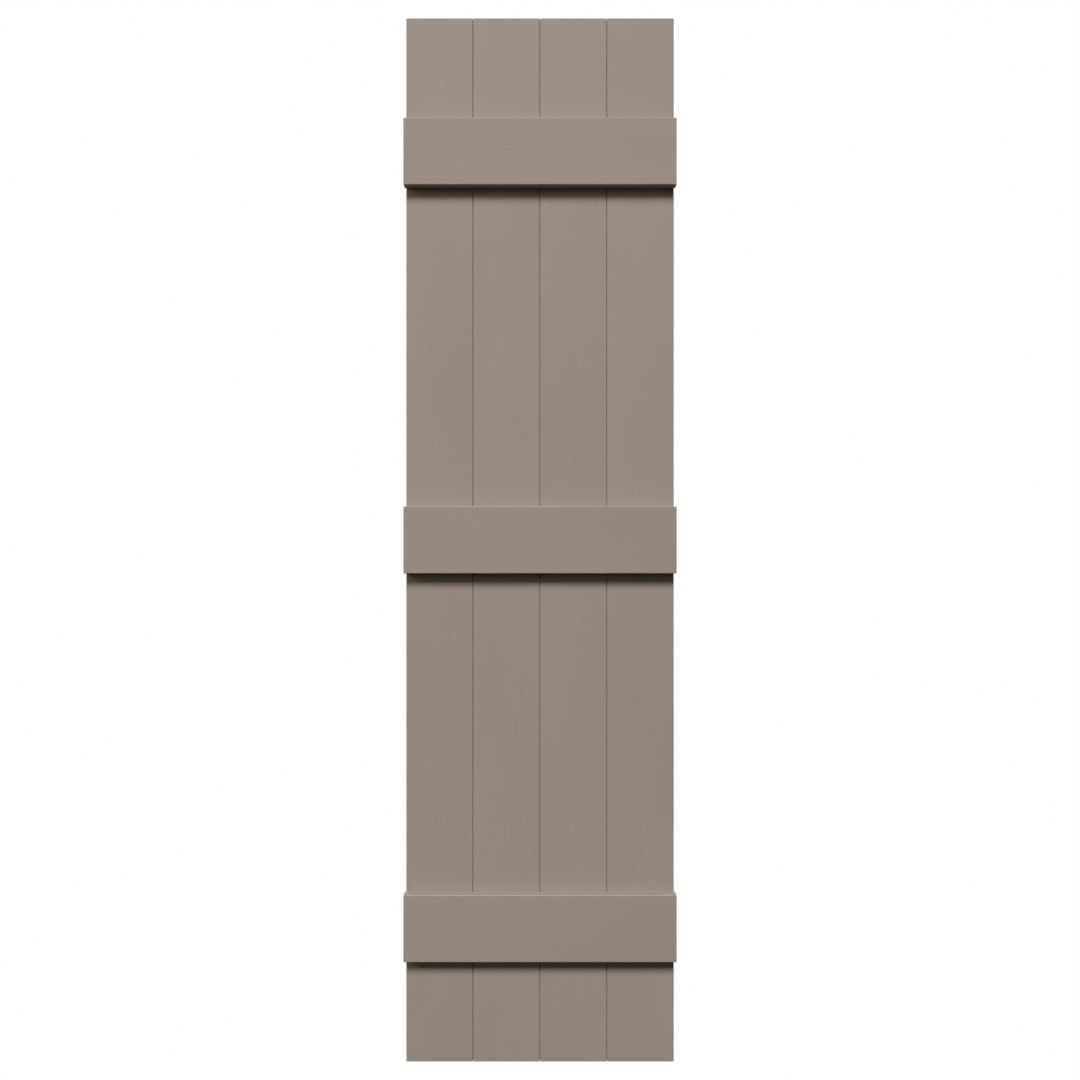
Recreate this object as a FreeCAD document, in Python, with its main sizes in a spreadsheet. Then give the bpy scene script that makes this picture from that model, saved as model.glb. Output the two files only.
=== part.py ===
import FreeCAD
import Part
import Sketcher
import os
from types import SimpleNamespace

# Board and batten shutter, fixed flat on the wall beside a window. Millimetres.
# +Z is up, the wall plane is y = 0 and the front of the shutter faces -Y.

SIZES = (
    ("shutter_height", 1397.0),
    ("board_width", 89.2),
    ("board_depth", 12.1),
    ("board_wall", 2.2),
    ("edge_bevel", 1.0),
    ("seam_gap", 0.5),
    ("tongue_thickness", 2.0),
    ("tongue_clearance", 0.3),
    ("barb_length", 2.5),
    ("barb_catch", 0.5),
    ("shelf_thickness", 1.8),
    ("pocket_clearance", 0.6),
    ("foot_clearance", 0.4),
    ("foot_end_clearance", 1.0),
    ("lip_reach", 9.0),
    ("leg_thickness", 2.0),
    ("leg_foot_width", 12.0),
    ("batten_height", 89.5),
    ("batten_depth", 16.5),
    ("batten_overhang", 2.5),
    ("batten_draft", 1.0),
    ("batten_rounding", 1.0),
    ("batten_wall", 2.4),
    ("batten_inset", 182.5),
    ("rib_thickness", 1.8),
    ("rib_recess", 2.0),
    ("boss_diameter", 8.0),
    ("boss_spread", 32.0),
    ("boss_offset", 22.0),
    ("pilot_diameter", 3.0),
    ("pilot_depth", 11.0),
    ("screw_hole_diameter", 4.4),
)

BOARDS = ("board_left", "board_centre_left", "board_centre_right", "board_right")
BATTENS = ("batten_bottom", "batten_middle", "batten_top")


class Size:
    """A length that carries both its value and the sheet formula that drives it."""

    def __init__(self, value, text):
        self.value = value
        self.text = text

    def __add__(self, other):
        return Size(self.value + other.value, f"({self.text} + {other.text})")

    def __sub__(self, other):
        return Size(self.value - other.value, f"({self.text} - {other.text})")

    def __mul__(self, factor):
        return Size(self.value * factor, f"({self.text} * {factor})")

    def __truediv__(self, divisor):
        return Size(self.value / divisor, f"({self.text} / {divisor})")

    def __neg__(self):
        return Size(-self.value, f"(-{self.text})")


doc = FreeCAD.newDocument("Shutter")
sheet = doc.addObject("Spreadsheet::Sheet", "Sizes")
for row, (alias, value) in enumerate(SIZES, start=1):
    sheet.set(f"A{row}", alias)
    sheet.set(f"B{row}", str(value))
    sheet.setAlias(f"B{row}", alias)
doc.recompute()

s = SimpleNamespace(**{alias: Size(value, f"Sizes.{alias}") for alias, value in SIZES})
zero = s.board_width * 0

board_pitch = s.board_width + s.seam_gap
shutter_width = board_pitch * len(BOARDS) - s.seam_gap
batten_span = s.shutter_height - s.batten_inset * 2
batten_pitch = batten_span / (len(BATTENS) - 1)

# Depths in the board's profile, measured back from its front face.
lip_front = s.board_depth - s.board_wall
shelf_back = lip_front - s.foot_clearance
shelf_front = shelf_back - s.shelf_thickness
tongue_back = shelf_front - s.tongue_clearance
tongue_front = tongue_back - s.tongue_thickness
nose_end = tongue_front - s.tongue_clearance
barb_tip = nose_end - s.barb_catch

# Distances across the board's profile, measured from its left face.
barb_start = board_pitch + s.board_wall + s.tongue_clearance
tongue_end = barb_start + s.barb_length
pocket_wall = s.board_wall + s.tongue_clearance + s.barb_length + s.pocket_clearance
foot_end = board_pitch + pocket_wall - s.foot_end_clearance


def origin_plane(body, role):
    """One of the body's own origin planes."""
    return [plane for plane in body.Origin.OriginFeatures if plane.Role == role][0]


def new_sketch(body, name, role):
    """Empty sketch on one of the body's own origin planes."""
    sketch = body.newObject("Sketcher::SketchObject", name)
    sketch.AttachmentSupport = [(origin_plane(body, role), "")]
    sketch.MapMode = "FlatFace"
    return sketch


def constrain(sketch, label, constraint, size):
    """Add a dimension and drive it from the sheet."""
    index = sketch.addConstraint(constraint)
    sketch.renameConstraint(index, label)
    sketch.setExpression(f"Constraints.{label}", size.text)


def pin_point(sketch, geometry, point, across, along):
    """Hold a sketch point at two driven distances from the sketch origin."""
    horizontal = Sketcher.Constraint("DistanceX", -1, 1, geometry, point, across.value)
    vertical = Sketcher.Constraint("DistanceY", -1, 1, geometry, point, along.value)
    constrain(sketch, f"across_{geometry}", horizontal, across)
    constrain(sketch, f"along_{geometry}", vertical, along)


def draw_outline(sketch, corners):
    """Closed outline of straight sides with driven corners."""
    first = sketch.GeometryCount
    points = [FreeCAD.Vector(across.value, along.value, 0) for across, along in corners]
    for start, end in zip(points, points[1:] + points[:1]):
        sketch.addGeometry(Part.LineSegment(start, end), False)
    for index in range(len(corners)):
        following = first + (index + 1) % len(corners)
        sketch.addConstraint(Sketcher.Constraint("Coincident", first + index, 2, following, 1))
    for index, (across, along) in enumerate(corners):
        pin_point(sketch, first + index, 1, across, along)


def draw_rectangle(sketch, left, bottom, right, top):
    """Rectangle with driven sides."""
    draw_outline(sketch, [(left, bottom), (right, bottom), (right, top), (left, top)])


def draw_circle(sketch, across, along, diameter):
    """Circle with a driven centre and diameter."""
    centre = FreeCAD.Vector(across.value, along.value, 0)
    circle = Part.Circle(centre, FreeCAD.Vector(0, 0, 1), diameter.value / 2)
    index = sketch.addGeometry(circle, False)
    pin_point(sketch, index, 3, across, along)
    constrain(sketch, f"diameter_{index}", Sketcher.Constraint("Diameter", index, diameter.value), diameter)


def add_feature(body, kind, name, sketch, length):
    """Pad or Pocket of a sketch with a driven length."""
    feature = body.newObject(f"PartDesign::{kind}", name)
    feature.Profile = sketch
    feature.setExpression("Length", length.text)
    doc.recompute()
    return feature


def dress(body, kind, name, base, picked, driven, size):
    """Draft, Thickness or Fillet on picked faces or edges of the feature before it."""
    feature = body.newObject(f"PartDesign::{kind}", name)
    feature.Base = (base, picked)
    feature.setExpression(driven, size.text)
    return feature


def pick(elements, kind, wanted):
    """Names of the faces or edges that the test accepts."""
    return [f"{kind}{number}" for number, element in enumerate(elements, start=1) if wanted(element)]


def repeat(body, name, originals, sketch, axis, span, count):
    """Spread features evenly over a driven span along a sketch axis."""
    pattern = body.newObject("PartDesign::LinearPattern", name)
    pattern.Originals = originals
    pattern.Direction = (sketch, [axis])
    pattern.setExpression("Length", span.text)
    pattern.Occurrences = count
    body.Tip = pattern
    doc.recompute()


def screw_places(across, high):
    """The two screws that hold one board to one batten, set on a diagonal."""
    half_spread = s.boss_spread / 2
    return [
        (across - half_spread, high + s.boss_offset),
        (across + half_spread, high - s.boss_offset),
    ]


def place(body, across, deep, high):
    """Drive the position of a finished sub-part."""
    body.setExpression("Placement.Base.x", across.text)
    body.setExpression("Placement.Base.y", deep.text)
    body.setExpression("Placement.Base.z", high.text)


def tongue_edge():
    """Right edge of an inner board: barbed tongue at mid depth and a foot that laps the next board."""
    return [
        (s.board_width, s.edge_bevel),
        (s.board_width, tongue_front),
        (barb_start, tongue_front),
        (barb_start, barb_tip),
        (tongue_end, tongue_front + s.tongue_thickness / 2),
        (tongue_end, tongue_back),
        (s.board_width, tongue_back),
        (s.board_width, lip_front),
        (foot_end, lip_front),
        (foot_end, s.board_depth),
    ]


def pocket_edge():
    """Left edge of an inner board: a nose and a shelf with the tongue's pocket between them."""
    return [
        (pocket_wall + s.board_wall, s.board_wall),
        (pocket_wall + s.board_wall, lip_front),
        (pocket_wall + s.lip_reach, lip_front),
        (pocket_wall + s.lip_reach, s.board_depth),
        (pocket_wall, s.board_depth),
        (pocket_wall, shelf_back),
        (zero, shelf_back),
        (zero, shelf_front),
        (pocket_wall, shelf_front),
        (pocket_wall, s.board_wall),
        (s.board_wall, s.board_wall),
        (s.board_wall, nose_end),
        (zero, nose_end),
        (zero, s.edge_bevel),
    ]


def plain_right_edge():
    """Finished outer edge of the right board."""
    return [
        (s.board_width, s.edge_bevel),
        (s.board_width, s.board_depth),
    ]


def plain_left_edge():
    """Finished outer edge of the left board."""
    return [
        (s.board_wall, s.board_wall),
        (s.board_wall, lip_front),
        (s.lip_reach, lip_front),
        (s.lip_reach, s.board_depth),
        (zero, s.board_depth),
        (zero, s.edge_bevel),
    ]


def inner_profile():
    """Right lip, web and footed middle leg, met from inside the board."""
    lip_edge = s.board_width - s.lip_reach
    flange_face = s.board_width - s.board_wall
    leg_right = (s.board_width + s.leg_thickness) / 2
    leg_left = (s.board_width - s.leg_thickness) / 2
    foot_right = (s.board_width + s.leg_foot_width) / 2
    foot_left = (s.board_width - s.leg_foot_width) / 2
    return [
        (lip_edge, s.board_depth),
        (lip_edge, lip_front),
        (flange_face, lip_front),
        (flange_face, s.board_wall),
        (leg_right, s.board_wall),
        (leg_right, lip_front),
        (foot_right, lip_front),
        (foot_right, s.board_depth),
        (foot_left, s.board_depth),
        (foot_left, lip_front),
        (leg_left, lip_front),
        (leg_left, s.board_wall),
    ]


def make_board(index, name):
    """Extruded board, hollow at the back, locked to its neighbours along its edges."""
    body = doc.addObject("PartDesign::Body", name)
    sketch = new_sketch(body, f"{name}_profile", "XY_Plane")
    right_edge = plain_right_edge() if index == len(BOARDS) - 1 else tongue_edge()
    left_edge = plain_left_edge() if index == 0 else pocket_edge()
    front_face = [
        (s.edge_bevel, zero),
        (s.board_width - s.edge_bevel, zero),
    ]
    draw_outline(sketch, front_face + right_edge + inner_profile() + left_edge)
    extrusion = add_feature(body, "Pad", f"{name}_extrusion", sketch, s.shutter_height)

    rings = new_sketch(body, f"{name}_screw_rings", "XZ_Plane")
    for across, high in screw_places(s.board_width / 2, s.batten_inset):
        draw_circle(rings, across, high, s.screw_hole_diameter)
    holes = add_feature(body, "Pocket", f"{name}_screw_holes", rings, s.board_depth / 2)
    if holes.Shape.Volume > extrusion.Shape.Volume - 1:
        raise RuntimeError(f"{name} screw holes miss the web")
    repeat(body, f"{name}_batten_pattern", [holes], rings, "V_Axis", batten_span, len(BATTENS))

    place(body, board_pitch * index - shutter_width / 2, -s.board_depth, -s.shutter_height / 2)
    return body


def faces_wall(face):
    """Whether a flat face looks straight back at the wall."""
    return face.normalAt(0, 0).y > 0.99


def make_batten(name, height):
    """Moulded batten: a drafted, rounded shell with cross ribs and screw bosses for each board."""
    body = doc.addObject("PartDesign::Body", name)
    half_length = shutter_width / 2 + s.batten_overhang
    half_height = s.batten_height / 2
    core_length = half_length - s.batten_wall
    core_height = half_height - s.batten_wall
    core_front = s.batten_wall / 2 - s.batten_depth

    outline = new_sketch(body, f"{name}_outline", "XZ_Plane")
    draw_rectangle(outline, -half_length, -half_height, half_length, half_height)
    block = add_feature(body, "Pad", f"{name}_block", outline, s.batten_depth)

    sides = pick(block.Shape.Faces, "Face", lambda face: abs(face.normalAt(0, 0).y) < 0.5)
    draft = dress(body, "Draft", f"{name}_draft", block, sides, "Angle", s.batten_draft)
    draft.NeutralPlane = (origin_plane(body, "XZ_Plane"), [""])
    doc.recompute()
    draft.touch()
    doc.recompute()

    seat = pick(draft.Shape.Faces, "Face", faces_wall)
    shell = dress(body, "Thickness", f"{name}_shell", draft, seat, "Value", s.batten_wall)
    shell.Reversed = True
    shell.Join = 1
    doc.recompute()

    outer = pick(shell.Shape.Edges, "Edge", lambda edge: edge.BoundBox.YMin < core_front.value)
    dress(body, "Fillet", f"{name}_rounding", shell, outer, "Radius", s.batten_rounding)
    doc.recompute()

    spine = new_sketch(body, f"{name}_spine", "XZ_Plane")
    spine.setExpression("AttachmentOffset.Base.z", s.rib_recess.text)
    draw_rectangle(spine, -core_length, -s.rib_thickness / 2, core_length, s.rib_thickness / 2)
    rib_length = s.batten_depth - s.rib_recess - s.batten_wall / 2
    add_feature(body, "Pad", f"{name}_spine_rib", spine, rib_length)

    screws = screw_places((s.board_width - shutter_width) / 2, zero)
    ribs = new_sketch(body, f"{name}_ribs", "XZ_Plane")
    ribs.setExpression("AttachmentOffset.Base.z", s.rib_recess.text)
    boss_rings = new_sketch(body, f"{name}_boss_rings", "XZ_Plane")
    pilot_rings = new_sketch(body, f"{name}_pilot_rings", "XZ_Plane")
    half_rib = s.rib_thickness / 2
    for across, high in screws:
        draw_rectangle(ribs, across - half_rib, -core_height, across + half_rib, core_height)
        draw_circle(boss_rings, across, high, s.boss_diameter)
        draw_circle(pilot_rings, across, high, s.pilot_diameter)
    cross_ribs = add_feature(body, "Pad", f"{name}_cross_ribs", ribs, rib_length)
    bosses = add_feature(body, "Pad", f"{name}_bosses", boss_rings, s.batten_depth - s.batten_wall / 2)
    pilots = add_feature(body, "Pocket", f"{name}_pilots", pilot_rings, s.pilot_depth)
    pilots.Reversed = pilots.Shape.Volume > bosses.Shape.Volume - 1
    doc.recompute()
    if pilots.Shape.Volume > bosses.Shape.Volume - 1:
        raise RuntimeError(f"{name} pilot holes miss the bosses")
    originals = [cross_ribs, bosses, pilots]
    span = board_pitch * (len(BOARDS) - 1)
    repeat(body, f"{name}_board_pattern", originals, boss_rings, "H_Axis", span, len(BOARDS))

    place(body, zero, -s.board_depth, height)
    return body


parts = [make_board(index, name) for index, name in enumerate(BOARDS)]
for index, name in enumerate(BATTENS):
    parts.append(make_batten(name, batten_pitch * index - batten_span / 2))
doc.recompute()

for item in doc.Objects:
    if "Invalid" in item.State or "Error" in item.State:
        raise RuntimeError(f"{item.Name} did not compute: {item.State}")

os.makedirs("parts", exist_ok=True)
for part in parts:
    shape = part.Shape
    if shape.isNull() or not shape.isValid() or len(shape.Solids) != 1:
        raise RuntimeError(f"{part.Label} is not one valid solid")
    shape.exportStep(f"parts/{part.Label}.step")
    print(part.Label, round(shape.Volume), shape.BoundBox)
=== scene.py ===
"""Board and batten shutter: moulded vinyl with an embossed grain, and the screws at its back."""

import math

import bmesh
import bpy
from mathutils import Matrix, Vector


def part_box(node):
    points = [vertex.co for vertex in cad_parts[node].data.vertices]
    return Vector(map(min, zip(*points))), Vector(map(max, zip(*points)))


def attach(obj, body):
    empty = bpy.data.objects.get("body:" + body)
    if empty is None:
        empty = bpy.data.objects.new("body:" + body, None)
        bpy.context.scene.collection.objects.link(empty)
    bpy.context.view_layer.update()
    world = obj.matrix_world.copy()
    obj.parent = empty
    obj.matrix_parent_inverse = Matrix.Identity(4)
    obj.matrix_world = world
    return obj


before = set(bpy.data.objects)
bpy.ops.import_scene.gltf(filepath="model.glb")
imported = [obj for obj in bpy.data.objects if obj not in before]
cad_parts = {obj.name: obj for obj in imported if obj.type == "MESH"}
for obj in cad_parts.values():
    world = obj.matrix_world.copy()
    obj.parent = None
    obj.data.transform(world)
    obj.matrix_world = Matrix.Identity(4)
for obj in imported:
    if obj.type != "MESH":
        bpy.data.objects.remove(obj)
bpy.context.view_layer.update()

# Colours are linear.
VINYL = (0.313, 0.260, 0.220, 1.0)
# Painted shade for the pores of the grain.
VINYL_PORE_SHADE = (0.268, 0.220, 0.186, 1.0)
ZINC = (0.36, 0.36, 0.35, 1.0)
WHITE = (1.0, 1.0, 1.0, 1.0)
FLOOR_PALE = (0.50, 0.50, 0.50, 1.0)
FLOOR_DIM = (0.02, 0.02, 0.02, 1.0)

# Distances are in metres, in the part's own frame.
BOARD_NAMES = ("board_left", "board_centre_left", "board_centre_right", "board_right")
BATTEN_NAMES = ("batten_bottom", "batten_middle", "batten_top")
BOARD_PITCH = 0.0897
BOARD_FRONT_Y = -0.0121
WEB_BACK_Y = -0.0099
EDGE_ROUNDING = 0.0003
WELD_DISTANCE = 1e-5
FLAT_FACE_ANGLE = math.radians(0.5)
SHARP_EDGE_ANGLE = math.radians(35)

# The stretch of grain that the first piece shows, and the step from one piece to the next.
BOARD_GRAIN_START = (0.135, 0.0, -0.6)
BOARD_GRAIN_STEP = (0.3 - BOARD_PITCH, 0.7, 0.37)
BATTEN_GRAIN_START = (0.0, 0.4, 0.0)
BATTEN_GRAIN_STEP = (0.11, 1.0, 0.23)

# Grain, in features per metre across the face, into it and along the grain.
RING_WAVERS = (14.0, 14.0, 3.0)
STROKE_GROUPS = (26.0, 26.0, 9.0)
PORES = (620.0, 620.0, 52.0)
STROKES = (480.0, 480.0, 60.0)
FIBRES = (1100.0, 1100.0, 18.0)
CLOUDS = (9.0, 9.0, 3.0)
RING_SPACING = 0.0065
RING_WANDER = 0.05
RING_FLATTENING = 0.05
PORES_ON_RINGS = 0.13
STROKE_GROUPING = 0.08

# Marks of the die and the saw, and the bloom on the zinc, in features per metre along X, Y and Z.
DIE_LINES = (900.0, 900.0, 1.2)
SAW_MARKS = (1500.0, 150.0, 60.0)
ZINC_BLOOM = (900.0, 900.0, 900.0)

# Relief: the distance that a height of 1 stands for, and the heights of what makes it up.
VINYL_RELIEF = 0.0002
VINYL_RELIEF_STRENGTH = 0.28
FIBRE_HEIGHT = 0.3
SAW_MARK_HEIGHT = 2.0
PORE_DEPTH = 0.6
STROKE_DEPTH = 1.6
ZINC_RELIEF = 0.0001
ZINC_RELIEF_STRENGTH = 0.15

# Colour and gloss: shares of the painted pore shade or of the brightness, where the stroke and edge
# shares are painted highlight, and changes of roughness.
PORE_SHADE = 0.18
CLOUD_BRIGHTNESS = 0.025
DIE_LINE_BRIGHTNESS = 0.12
# Painted highlight on the grain strokes of the boards.
STROKE_HIGHLIGHT = 0.08
# Painted highlight on the eased edges: how much paler they are made.
EDGE_HIGHLIGHT_BRIGHTNESS = 1.12
HIDDEN_ROUGHNESS = 0.22
RUBBED_SMOOTHNESS = 0.14
VINYL_SPECULAR = 0.10


class Shader:
    """Adds nodes to a material or world and links them."""

    def __init__(self, owner):
        owner.use_nodes = True
        self.tree = owner.node_tree
        self.tree.nodes.clear()

    def add(self, kind, inputs=None, **settings):
        node = self.tree.nodes.new(kind)
        for key, value in settings.items():
            setattr(node, key, value)
        for key, value in (inputs or {}).items():
            if isinstance(value, bpy.types.NodeSocket):
                self.tree.links.new(value, node.inputs[key])
            else:
                node.inputs[key].default_value = value
        return node

    def math(self, operation, first, second=0.0):
        return self.add("ShaderNodeMath", {0: first, 1: second}, operation=operation).outputs[0]

    def plus(self, first, second):
        return self.math("ADD", first, second)

    def minus(self, first, second):
        return self.math("SUBTRACT", first, second)

    def times(self, first, second):
        return self.math("MULTIPLY", first, second)

    def larger(self, first, second):
        return self.math("MAXIMUM", first, second)

    def ramp(self, value, low, high, to_low=0.0, to_high=1.0):
        inputs = {
            "Value": value, "From Min": low, "From Max": high, "To Min": to_low, "To Max": to_high
        }
        return self.add("ShaderNodeMapRange", inputs, interpolation_type="SMOOTHSTEP").outputs[0]

    def noise(self, vector, scale, detail=2.0, roughness=0.5):
        """Noise with its own scale along each axis."""
        scaled = {0: vector, 1: scale}
        stretched = self.add("ShaderNodeVectorMath", scaled, operation="MULTIPLY").outputs[0]
        inputs = {"Vector": stretched, "Scale": 1.0, "Detail": detail, "Roughness": roughness}
        return self.add("ShaderNodeTexNoise", inputs).outputs[0]

    def blend(self, share, first, second):
        """Colour that goes from the first to the second."""
        colours = {0: share, 6: first, 7: second}
        return self.add("ShaderNodeMix", colours, data_type="RGBA").outputs[2]

    def surface(self, inputs):
        principled = self.add("ShaderNodeBsdfPrincipled", inputs)
        self.add("ShaderNodeOutputMaterial", {0: principled.outputs[0]})


def ring_lines(shader, grain_place):
    """Growth rings seen on a flat-sawn face: long ellipses with a slow waver."""
    waver = shader.noise(grain_place, RING_WAVERS, detail=3.0)
    split = shader.add("ShaderNodeSeparateXYZ", {0: grain_place}).outputs
    across = shader.plus(split[0], shader.times(waver, RING_WANDER))
    along = shader.times(split[2], RING_FLATTENING)
    flattened = shader.add("ShaderNodeCombineXYZ", {0: across, 2: along}).outputs[0]
    length = shader.add("ShaderNodeVectorMath", {0: flattened}, operation="LENGTH")
    turns = shader.times(length.outputs["Value"], math.tau / RING_SPACING)
    return shader.ramp(shader.math("SINE", turns), low=0.2, high=1.0)


def vinyl(name, turn, shift, extruded):
    """Coloured-through vinyl with grain along Z before its turn about Y.

    shift picks the stretch of grain. extruded is 1 on a piece drawn through a die and sawn to
    length, and 0 on a moulded one.
    """
    material = bpy.data.materials.new(name)
    shader = Shader(material)
    place = shader.add("ShaderNodeTexCoord").outputs["Object"]
    inputs = {"Vector": place, "Location": shift, "Rotation": (0.0, turn, 0.0)}
    grain_place = shader.add("ShaderNodeMapping", inputs).outputs[0]

    # Short pores that gather on the rings, a few longer strokes in loose groups, fine fibres
    # between them, and slow clouds of brightness.
    on_rings = shader.times(ring_lines(shader, grain_place), PORES_ON_RINGS)
    pores = shader.plus(shader.noise(grain_place, PORES, detail=1.0), on_rings)
    pore = shader.ramp(pores, low=0.67, high=0.75)
    groups = shader.noise(grain_place, STROKE_GROUPS, detail=1.0)
    grouping = shader.ramp(
        groups, low=0.35, high=0.70, to_low=-STROKE_GROUPING, to_high=STROKE_GROUPING
    )
    strokes = shader.plus(shader.noise(grain_place, STROKES, detail=0.0), grouping)
    stroke = shader.ramp(strokes, low=0.74, high=0.80)
    fibre = shader.noise(grain_place, FIBRES, detail=3.0, roughness=0.6)
    cloud = shader.noise(grain_place, CLOUDS, detail=3.0)

    # The grain is on the front. Other faces are duller, and on an extruded piece they have lines
    # left by the die, and saw marks on the ends.
    normal = shader.add("ShaderNodeNewGeometry").outputs["Normal"]
    facing = shader.add("ShaderNodeSeparateXYZ", {0: normal}).outputs
    front = shader.ramp(facing[1], low=-0.6, high=-0.9)
    pore = shader.times(pore, front)
    stroke = shader.times(stroke, front)
    hidden = shader.ramp(front, low=0.0, high=1.0, to_low=extruded, to_high=0.0)
    die_line = shader.minus(shader.noise(place, DIE_LINES, detail=3.0, roughness=0.6), 0.5)
    die_line = shader.times(die_line, hidden)
    upright = shader.math("ABSOLUTE", facing[2])
    end = shader.ramp(upright, low=0.7, high=0.95, to_high=SAW_MARK_HEIGHT * extruded)
    saw_mark = shader.times(shader.noise(place, SAW_MARKS), end)

    raised = shader.plus(shader.times(fibre, FIBRE_HEIGHT), shader.plus(saw_mark, die_line))
    cut = shader.plus(shader.times(pore, PORE_DEPTH), shader.times(stroke, STROKE_DEPTH))
    relief = {
        "Height": shader.minus(raised, cut),
        "Strength": VINYL_RELIEF_STRENGTH,
        "Distance": VINYL_RELIEF,
    }
    bump = shader.add("ShaderNodeBump", relief).outputs[0]

    # Eased edges, which face between the flat sides, are smoother, and are made paler by a painted
    # highlight.
    sides = [shader.math("ABSOLUTE", facing[axis]) for axis in range(3)]
    flatness = shader.larger(shader.larger(sides[0], sides[1]), sides[2])
    highlit_smooth_edge = shader.ramp(flatness, low=0.98, high=0.82)

    # Painted shade darkens the pores.
    tone = shader.blend(shader.times(pore, PORE_SHADE), VINYL, VINYL_PORE_SHADE)
    brightness = shader.ramp(
        cloud, low=0.25, high=0.75, to_low=1.0 - CLOUD_BRIGHTNESS, to_high=1.0 + CLOUD_BRIGHTNESS
    )
    # Painted highlight: the eased edges are made paler.
    edge_highlight = shader.ramp(highlit_smooth_edge, low=0.0, high=1.0, to_low=1.0, to_high=EDGE_HIGHLIGHT_BRIGHTNESS)
    brightness = shader.times(brightness, edge_highlight)
    brightness = shader.plus(brightness, shader.times(die_line, DIE_LINE_BRIGHTNESS))
    # Painted highlight: the grain strokes on the boards are made paler.
    brightness = shader.plus(brightness, shader.times(stroke, STROKE_HIGHLIGHT * extruded))
    shaded = {"Color": tone, "Value": brightness}
    colour = shader.add("ShaderNodeHueSaturation", shaded).outputs[0]
    roughness = shader.ramp(fibre, low=0.3, high=0.7, to_low=0.40, to_high=0.50)
    dull = shader.ramp(front, low=0.0, high=1.0, to_low=HIDDEN_ROUGHNESS, to_high=0.0)
    roughness = shader.plus(roughness, dull)
    roughness = shader.minus(roughness, shader.times(highlit_smooth_edge, RUBBED_SMOOTHNESS))
    shader.surface({
        "Base Color": colour,
        "Roughness": roughness,
        "Normal": bump,
        "Specular IOR Level": VINYL_SPECULAR,
    })
    return material


def zinc():
    """Zinc-plated steel with a faint patchy bloom."""
    material = bpy.data.materials.new("zinc_plate")
    shader = Shader(material)
    place = shader.add("ShaderNodeTexCoord").outputs["Object"]
    bloom = shader.noise(place, ZINC_BLOOM, detail=3.0)
    roughness = shader.ramp(bloom, low=0.3, high=0.7, to_low=0.42, to_high=0.58)
    relief = {"Height": bloom, "Strength": ZINC_RELIEF_STRENGTH, "Distance": ZINC_RELIEF}
    bump = shader.add("ShaderNodeBump", relief).outputs[0]
    shader.surface({"Base Color": ZINC, "Metallic": 1.0, "Roughness": roughness, "Normal": bump})
    return material


def dress(node, material):
    """Give a CAD node its finish and ease its sharp edges."""
    node.data.materials.clear()
    node.data.materials.append(material)
    weld = node.modifiers.new("weld", "WELD")
    weld.merge_threshold = WELD_DISTANCE
    flat = node.modifiers.new("flat_faces", "DECIMATE")
    flat.decimate_type = "DISSOLVE"
    flat.angle_limit = FLAT_FACE_ANGLE
    ease = node.modifiers.new("eased_edges", "BEVEL")
    ease.width = EDGE_ROUNDING
    ease.segments = 2
    ease.limit_method = "ANGLE"
    ease.angle_limit = SHARP_EDGE_ANGLE
    ease.harden_normals = True


def stretch(start, step, index):
    """Where the grain of one piece of a row is taken from."""
    return tuple(first + index * more for first, more in zip(start, step))


for index, name in enumerate(BOARD_NAMES):
    shift = stretch(BOARD_GRAIN_START, BOARD_GRAIN_STEP, index)
    dress(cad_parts[name], vinyl(f"vinyl_{name}", 0.0, shift, 1.0))
for index, name in enumerate(BATTEN_NAMES):
    shift = stretch(BATTEN_GRAIN_START, BATTEN_GRAIN_STEP, index)
    dress(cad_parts[name], vinyl(f"vinyl_{name}", math.pi / 2, shift, 0.0))


# Two screws to a board at each batten: how far apart, and how far above and below its middle.
SCREW_SPREAD = 0.032
SCREW_OFFSET = 0.022
# Half outline of a screw, as radius and height: crown, rim and seat of the head, then the shank.
SCREW_PROFILE = (
    (0.0026, 0.0024),
    (0.0033, 0.0020),
    (0.0038, 0.0014),
    (0.0041, 0.0007),
    (0.0041, 0.0002),
    (0.0039, 0.0000),
    (0.0019, 0.0000),
    (0.0019, -0.0078),
    (0.0008, -0.0096),
)
SCREW_POINT = -0.0099
SCREW_FACETS = 36
SCREW_SHARP_ANGLE = math.radians(38)
# Cross recess: heights of its mouth and floor, reach and half thickness of its arms, and its taper.
RECESS_MOUTH = 0.0026
RECESS_FLOOR = 0.0010
RECESS_REACH = 0.0019
RECESS_WEB = 0.0005
RECESS_TAPER = 0.5


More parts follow.
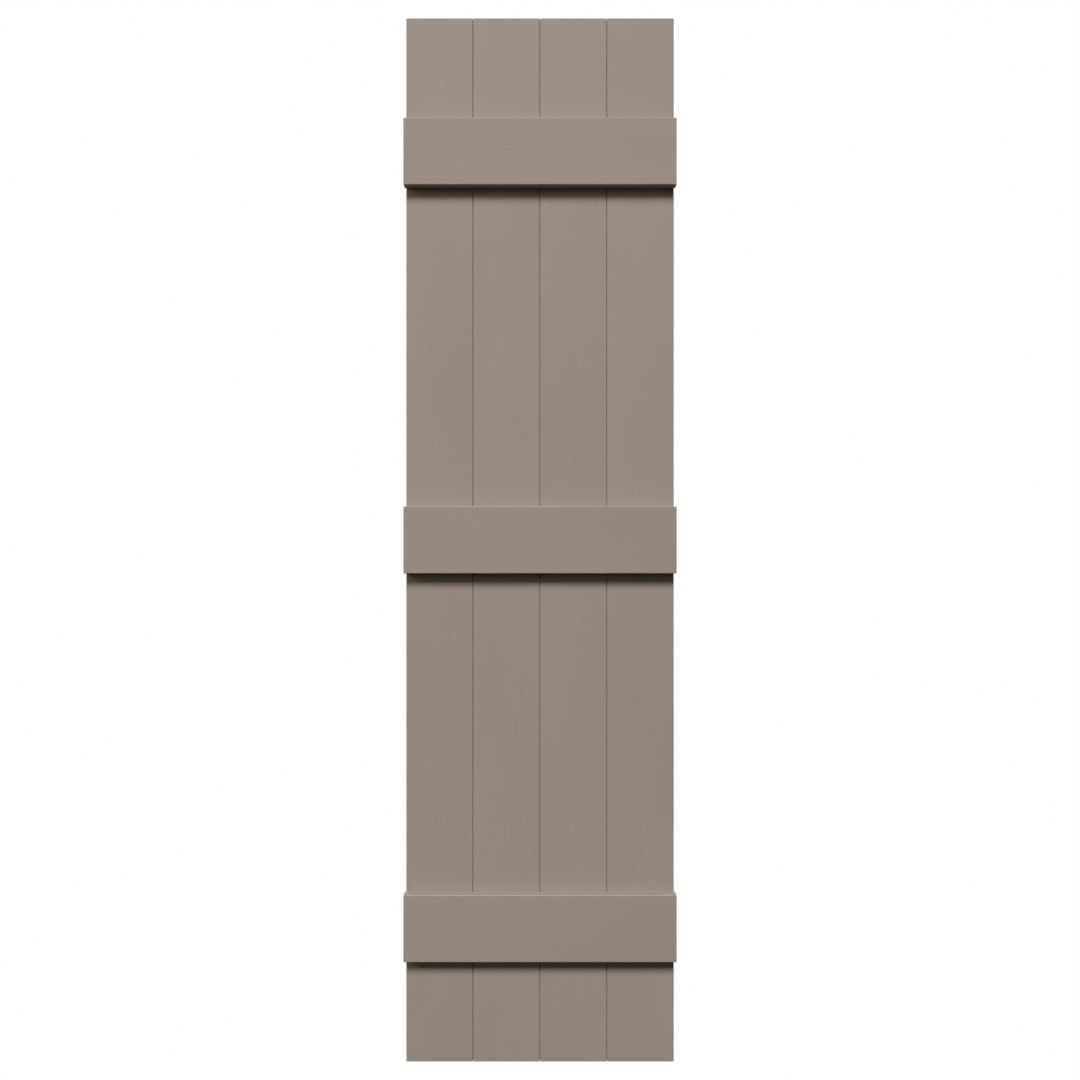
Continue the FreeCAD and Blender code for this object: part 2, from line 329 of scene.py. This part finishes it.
def screw_mesh():
    """Pan-head screw with a cross recess, head towards +Y, seated at the origin."""
    steps = SCREW_FACETS
    turns = [math.tau * step / steps for step in range(steps)]
    corners, faces = [], []
    for radius, height in SCREW_PROFILE:
        corners += [(radius * math.cos(turn), height, radius * math.sin(turn)) for turn in turns]
    point = len(corners)
    corners.append((0.0, SCREW_POINT, 0.0))
    for ring in range(len(SCREW_PROFILE)):
        for step in range(steps):
            here, after = ring * steps + step, ring * steps + (step + 1) % steps
            if ring + 1 < len(SCREW_PROFILE):
                faces.append((here, after, after + steps, here + steps))
            else:
                faces.append((here, after, point))

    # The recess narrows towards its floor and is let into the crowned top.
    quarter = [
        (RECESS_REACH, RECESS_WEB), (RECESS_WEB, RECESS_WEB), (RECESS_WEB, RECESS_REACH)
    ]
    cross = []
    for _ in range(4):
        cross += quarter
        quarter = [(-z, x) for x, z in quarter]
    sides = len(cross)
    upper = len(corners)
    lower = upper + sides
    corners += [(x, RECESS_MOUTH, z) for x, z in cross]
    corners += [(x * RECESS_TAPER, RECESS_FLOOR, z * RECESS_TAPER) for x, z in cross]
    for side in range(sides):
        after = (side + 1) % sides
        faces.append((upper + after, upper + side, lower + side, lower + after))
    faces.append(tuple(lower + side for side in reversed(range(sides))))

    # The crown goes from the rim to the recess, in one turn with a step along either at a time.
    rim_turns = turns + [math.tau]
    cross_turns = [math.atan2(z, x) % math.tau for x, z in cross]
    cross_turns.append(cross_turns[0] + math.tau)
    rim, side = 0, 0
    while side < sides:
        if rim < steps and rim_turns[rim + 1] < cross_turns[side + 1]:
            faces.append(((rim + 1) % steps, rim, upper + side))
            rim += 1
        else:
            faces.append((upper + side, upper + (side + 1) % sides, rim % steps))
            side += 1
    data = bpy.data.meshes.new("screw")
    data.from_pydata(corners, [], faces)
    for face in data.polygons:
        face.use_smooth = True
    data.set_sharp_from_angle(angle=SCREW_SHARP_ANGLE)
    return data


screw = screw_mesh()
screw.materials.append(zinc())
for batten in BATTEN_NAMES:
    low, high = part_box(batten)
    level = (low.z + high.z) / 2
    for board in range(len(BOARD_NAMES)):
        middle = BOARD_PITCH * (board - (len(BOARD_NAMES) - 1) / 2)
        for letter, side in (("l", -1), ("r", 1)):
            piece = bpy.data.objects.new(f"screw_{batten}_{board}_{letter}", screw)
            bpy.context.scene.collection.objects.link(piece)
            x, z = middle + side * SCREW_SPREAD / 2, level - side * SCREW_OFFSET
            piece.location = (x, WEB_BACK_Y, z)
            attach(piece, "root")


# Camera: level, straight on, at mid height.
FRAME_HEIGHT = 1.4464
CAMERA_DISTANCE = 1.75
SENSOR_WIDTH = 36.0
camera_data = bpy.data.cameras.new("camera")
camera_data.sensor_width = SENSOR_WIDTH
camera_data.lens = SENSOR_WIDTH * CAMERA_DISTANCE / FRAME_HEIGHT
camera = bpy.data.objects.new("camera", camera_data)
bpy.context.scene.collection.objects.link(camera)
camera.location = (0.0, BOARD_FRONT_Y - CAMERA_DISTANCE, 0.0)
camera.rotation_euler = (math.pi / 2, 0.0, 0.0)
bpy.context.scene.camera = camera


# The fills are warm and the key a little cool, so that together they light the front white.
NEUTRAL = (1.0, 1.0, 1.0)
WARM = (1.0, 0.87, 0.71)
COOL = (0.94, 0.967, 1.0)


def softbox(name, azimuth, elevation, distance, spread, power, tint=NEUTRAL):
    """Round soft light aimed at the shutter's middle, azimuth to the left of straight in front."""
    light = bpy.data.lights.new(name, "AREA")
    light.shape = "DISK"
    light.size = 2 * distance * math.tan(math.radians(spread) / 2)
    light.energy = power
    light.color = tint
    lamp = bpy.data.objects.new(name, light)
    bpy.context.scene.collection.objects.link(lamp)
    turn, tilt = math.radians(azimuth), math.radians(elevation)
    level = math.cos(tilt)
    away = Vector((-math.sin(turn) * level, -math.cos(turn) * level, math.sin(tilt)))
    lamp.location = away * distance
    lamp.rotation_euler = away.to_track_quat("Z", "Y").to_euler()


softbox("key", azimuth=6, elevation=46, distance=30, spread=22, power=10685, tint=COOL)
softbox("front_fill", azimuth=0, elevation=14, distance=8, spread=20, power=33, tint=WARM)
softbox("side_fill", azimuth=54, elevation=23, distance=6, spread=16, power=77, tint=WARM)
softbox("back_left", azimuth=148, elevation=6, distance=12, spread=18, power=1100)
softbox("back_right", azimuth=-136, elevation=6, distance=12, spread=18, power=1000)


def seen_directly(shader):
    """1 for what the camera sees, straight or by reflection or through glass."""
    path = shader.add("ShaderNodeLightPath").outputs
    straight = shader.larger(path["Is Camera Ray"], path["Is Glossy Ray"])
    return shader.larger(straight, path["Is Transmission Ray"])


# White where the camera looks, straight or by reflection, and dim as a lamp.
AMBIENT = 0.008
world = bpy.data.worlds.new("studio")
bpy.context.scene.world = world
shader = Shader(world)
strength = shader.ramp(seen_directly(shader), low=0.0, high=1.0, to_low=AMBIENT, to_high=1.0)
background = shader.add("ShaderNodeBackground", {"Color": WHITE, "Strength": strength})
shader.add("ShaderNodeOutputWorld", {0: background.outputs[0]})

# Pale round floor well below the shutter, which fades to white at its rim.
FLOOR_MIDDLE = (0.0, 1.0, -2.5)
FLOOR_RADIUS = 3.2
FLOOR_FACETS = 96
FADE_START = 0.6 * FLOOR_RADIUS
FADE_END = 0.97 * FLOOR_RADIUS
FLOOR_GLOW = 0.4
floor_mesh = bpy.data.meshes.new("floor")
disc = bmesh.new()
bmesh.ops.create_circle(
    disc,
    cap_ends=True,
    segments=FLOOR_FACETS,
    radius=FLOOR_RADIUS,
    matrix=Matrix.Translation(FLOOR_MIDDLE),
)
disc.to_mesh(floor_mesh)
disc.free()
floor = bpy.data.objects.new("floor", floor_mesh)
bpy.context.scene.collection.objects.link(floor)
floor_paint = bpy.data.materials.new("floor_paint")
shader = Shader(floor_paint)
dim = shader.add("ShaderNodeBsdfDiffuse", {"Color": FLOOR_DIM}).outputs[0]
pale = shader.add("ShaderNodeBsdfDiffuse", {"Color": FLOOR_PALE}).outputs[0]
place = shader.add("ShaderNodeTexCoord").outputs["Object"]
reach = shader.add("ShaderNodeVectorMath", {0: place, 1: FLOOR_MIDDLE}, operation="DISTANCE")
fade = shader.ramp(reach.outputs["Value"], FADE_START, FADE_END, to_low=FLOOR_GLOW, to_high=1.0)
glow = shader.add("ShaderNodeEmission", {"Color": WHITE, "Strength": fade}).outputs[0]
bright = shader.add("ShaderNodeAddShader", {0: pale, 1: glow}).outputs[0]
mixed = shader.add("ShaderNodeMixShader", {0: seen_directly(shader), 1: dim, 2: bright})
shader.add("ShaderNodeOutputMaterial", {0: mixed.outputs[0]})
floor_mesh.materials.append(floor_paint)

bpy.context.scene.view_settings.view_transform = "Standard"
